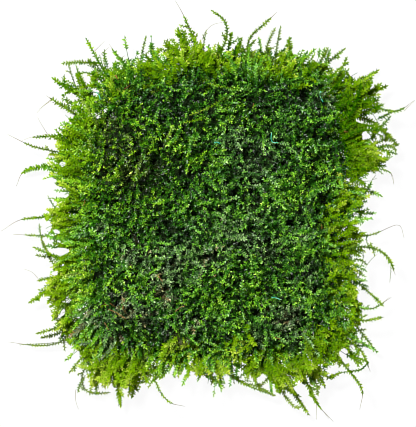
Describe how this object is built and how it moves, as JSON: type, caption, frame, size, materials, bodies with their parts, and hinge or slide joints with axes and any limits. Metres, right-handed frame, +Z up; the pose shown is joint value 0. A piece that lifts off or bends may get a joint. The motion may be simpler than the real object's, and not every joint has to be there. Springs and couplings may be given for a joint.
{
  "type": "moss clump",
  "caption": "Squarish mat of leafy branching moss, flat below, with long leafy shoots standing out all round its edge. Rests on its flat underside.",
  "frame": {"origin": "centre of the mat's flat underside", "axes": "+Z up, away from the cut underside; +X the clump's right and +Y its far side, as it is seen from above"},
  "size_m": [0.1282, 0.1307, 0.0179],
  "materials": {
    "moss": "dense damp leafy moss, dark green with black gaps, lime shoot tips and small pale glints",
    "shoot": "thin translucent lime to olive leaves on a fine green stem",
    "thread": "thin blue-green sewing thread",
    "dead_shoot": "dead, dry orange-brown moss stem"
  },
  "bodies": {
    "root": {"moss_mat": "moss", "shoot_far_1": "shoot", "shoot_far_2": "shoot", "shoot_far_3": "shoot", "shoot_far_4": "shoot", "shoot_far_5": "shoot", "shoot_far_6": "shoot", "shoot_far_7": "shoot", "shoot_far_8": "shoot", "shoot_right_1": "shoot", "shoot_right_2": "shoot", "shoot_right_3": "shoot", "shoot_right_4": "shoot", "shoot_right_5": "shoot", "shoot_right_6": "shoot", "shoot_right_7": "shoot", "shoot_right_8": "shoot", "shoot_right_9": "shoot", "shoot_right_10": "shoot", "shoot_right_11": "shoot", "shoot_right_12": "shoot", "shoot_right_13": "shoot", "shoot_right_14": "shoot", "shoot_near_1": "shoot", "shoot_near_2": "shoot", "shoot_near_3": "shoot", "shoot_near_4": "shoot", "shoot_near_5": "shoot", "shoot_near_6": "shoot", "shoot_near_7": "shoot", "shoot_near_8": "shoot", "shoot_near_9": "shoot", "shoot_near_10": "shoot", "shoot_left_1": "shoot", "shoot_left_2": "shoot", "shoot_left_3": "shoot", "shoot_left_4": "shoot", "shoot_left_5": "shoot", "shoot_left_6": "shoot", "shoot_left_7": "shoot", "shoot_left_8": "shoot", "shoot_left_9": "shoot", "shoot_left_10": "shoot", "shoot_left_11": "shoot", "shoot_left_12": "shoot", "shoot_left_13": "shoot", "tie_thread_1": "thread", "tie_thread_2": "thread", "tie_thread_3": "thread", "tie_thread_4": "thread", "tie_thread_5": "thread", "dead_shoot_1": "dead_shoot", "dead_shoot_2": "dead_shoot", "dead_shoot_3": "dead_shoot", "dead_shoot_4": "dead_shoot"}
  },
  "joints": []
}
